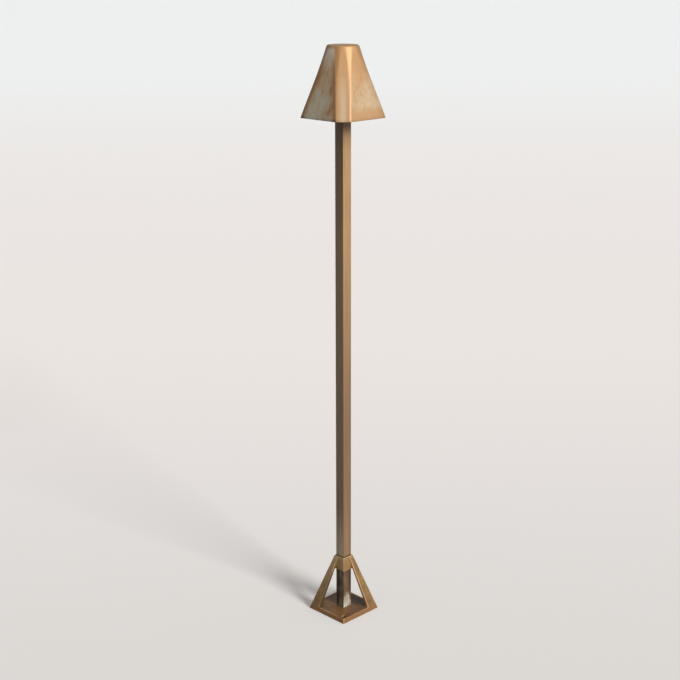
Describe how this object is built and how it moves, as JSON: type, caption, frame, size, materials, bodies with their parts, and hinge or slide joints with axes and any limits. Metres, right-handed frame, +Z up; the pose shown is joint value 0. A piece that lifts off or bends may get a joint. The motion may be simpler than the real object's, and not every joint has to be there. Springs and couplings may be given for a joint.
{
  "type": "path light",
  "caption": "Garden path light: faceted cast hood with a round top, glass lens and lamp beneath it, slim square post and a pyramid-shaped open base that is screwed down.",
  "frame": {"origin": "centre of the base's underside", "axes": "+Z up along the post; the sides of base, post and hood face along X and Y, and the two legs of the base stand at its (-X, -Y) and (+X, +Y) corners"},
  "size_m": [0.0788, 0.0788, 0.6852],
  "materials": {
    "cast_bronze": "aged cast bronze, satin",
    "tube_bronze": "aged brushed tube",
    "turned_brass": "machined, dulled",
    "plated_brass": "plated",
    "steel": "stainless, bright",
    "ceramic": "unglazed ceramic",
    "milky_capsule": "milky silicone",
    "clear_glass": "clear",
    "rubber": "matt",
    "insulation": "matt"
  },
  "bodies": {
    "fixture": {"base_casting": "cast_bronze", "cable_bush": "rubber", "post": "tube_bronze", "bracket": "turned_brass", "hub": "turned_brass", "hub_screw": "steel", "lens_seal": "rubber", "lampholder": "ceramic", "set_screw_left": "steel", "set_screw_right": "steel", "lampholder_screw_left": "steel", "lampholder_screw_right": "steel", "contact_left": "plated_brass", "contact_right": "plated_brass", "lead_left": "insulation", "lead_right": "insulation", "splice_left": "insulation", "splice_right": "insulation"},
    "hood": {"hood": "cast_bronze", "stud_left": "steel", "stud_right": "steel", "spacer_left": "turned_brass", "spacer_right": "turned_brass"},
    "lens": {"lens": "clear_glass"},
    "lamp": {"lamp_base": "ceramic", "lamp_capsule": "milky_capsule", "lamp_pin_left": "plated_brass", "lamp_pin_right": "plated_brass"},
    "washer_left": {"washer_left": "plated_brass"},
    "nut_left": {"thumb_nut_left": "turned_brass"},
    "washer_right": {"washer_right": "plated_brass"},
    "nut_right": {"thumb_nut_right": "turned_brass"}
  },
  "joints": [
    {"name": "hood_lift", "type": "slide", "parent": "fixture", "child": "hood", "axis": [0, 0, 1], "range_m": [0, 0.08]},
    {"name": "lens_lift", "type": "slide", "parent": "fixture", "child": "lens", "axis": [0, 0, 1], "range_m": [0, 0.01]},
    {"name": "lamp_pull", "type": "slide", "parent": "fixture", "child": "lamp", "axis": [0, 0, 1], "range_m": [0, 0.0075]},
    {"name": "washer_left_drop", "type": "slide", "parent": "fixture", "child": "washer_left", "axis": [0, 0, -1], "range_m": [0, 0.006]},
    {"name": "nut_left_turn", "type": "hinge", "parent": "washer_left", "child": "nut_left", "pos_m": [-0.022, 0, 0.6108], "axis": [0, 0, -1], "range_deg": [0, 3086]},
    {"name": "washer_right_drop", "type": "slide", "parent": "fixture", "child": "washer_right", "axis": [0, 0, -1], "range_m": [0, 0.006]},
    {"name": "nut_right_turn", "type": "hinge", "parent": "washer_right", "child": "nut_right", "pos_m": [0.022, 0, 0.6108], "axis": [0, 0, -1], "range_deg": [0, 3086]}
  ],
  "couplings": [
    {"joint": "nut_left_turn", "follows": "washer_left_drop", "rad_per_m": 8976},
    {"joint": "nut_right_turn", "follows": "washer_right_drop", "rad_per_m": 8976}
  ]
}
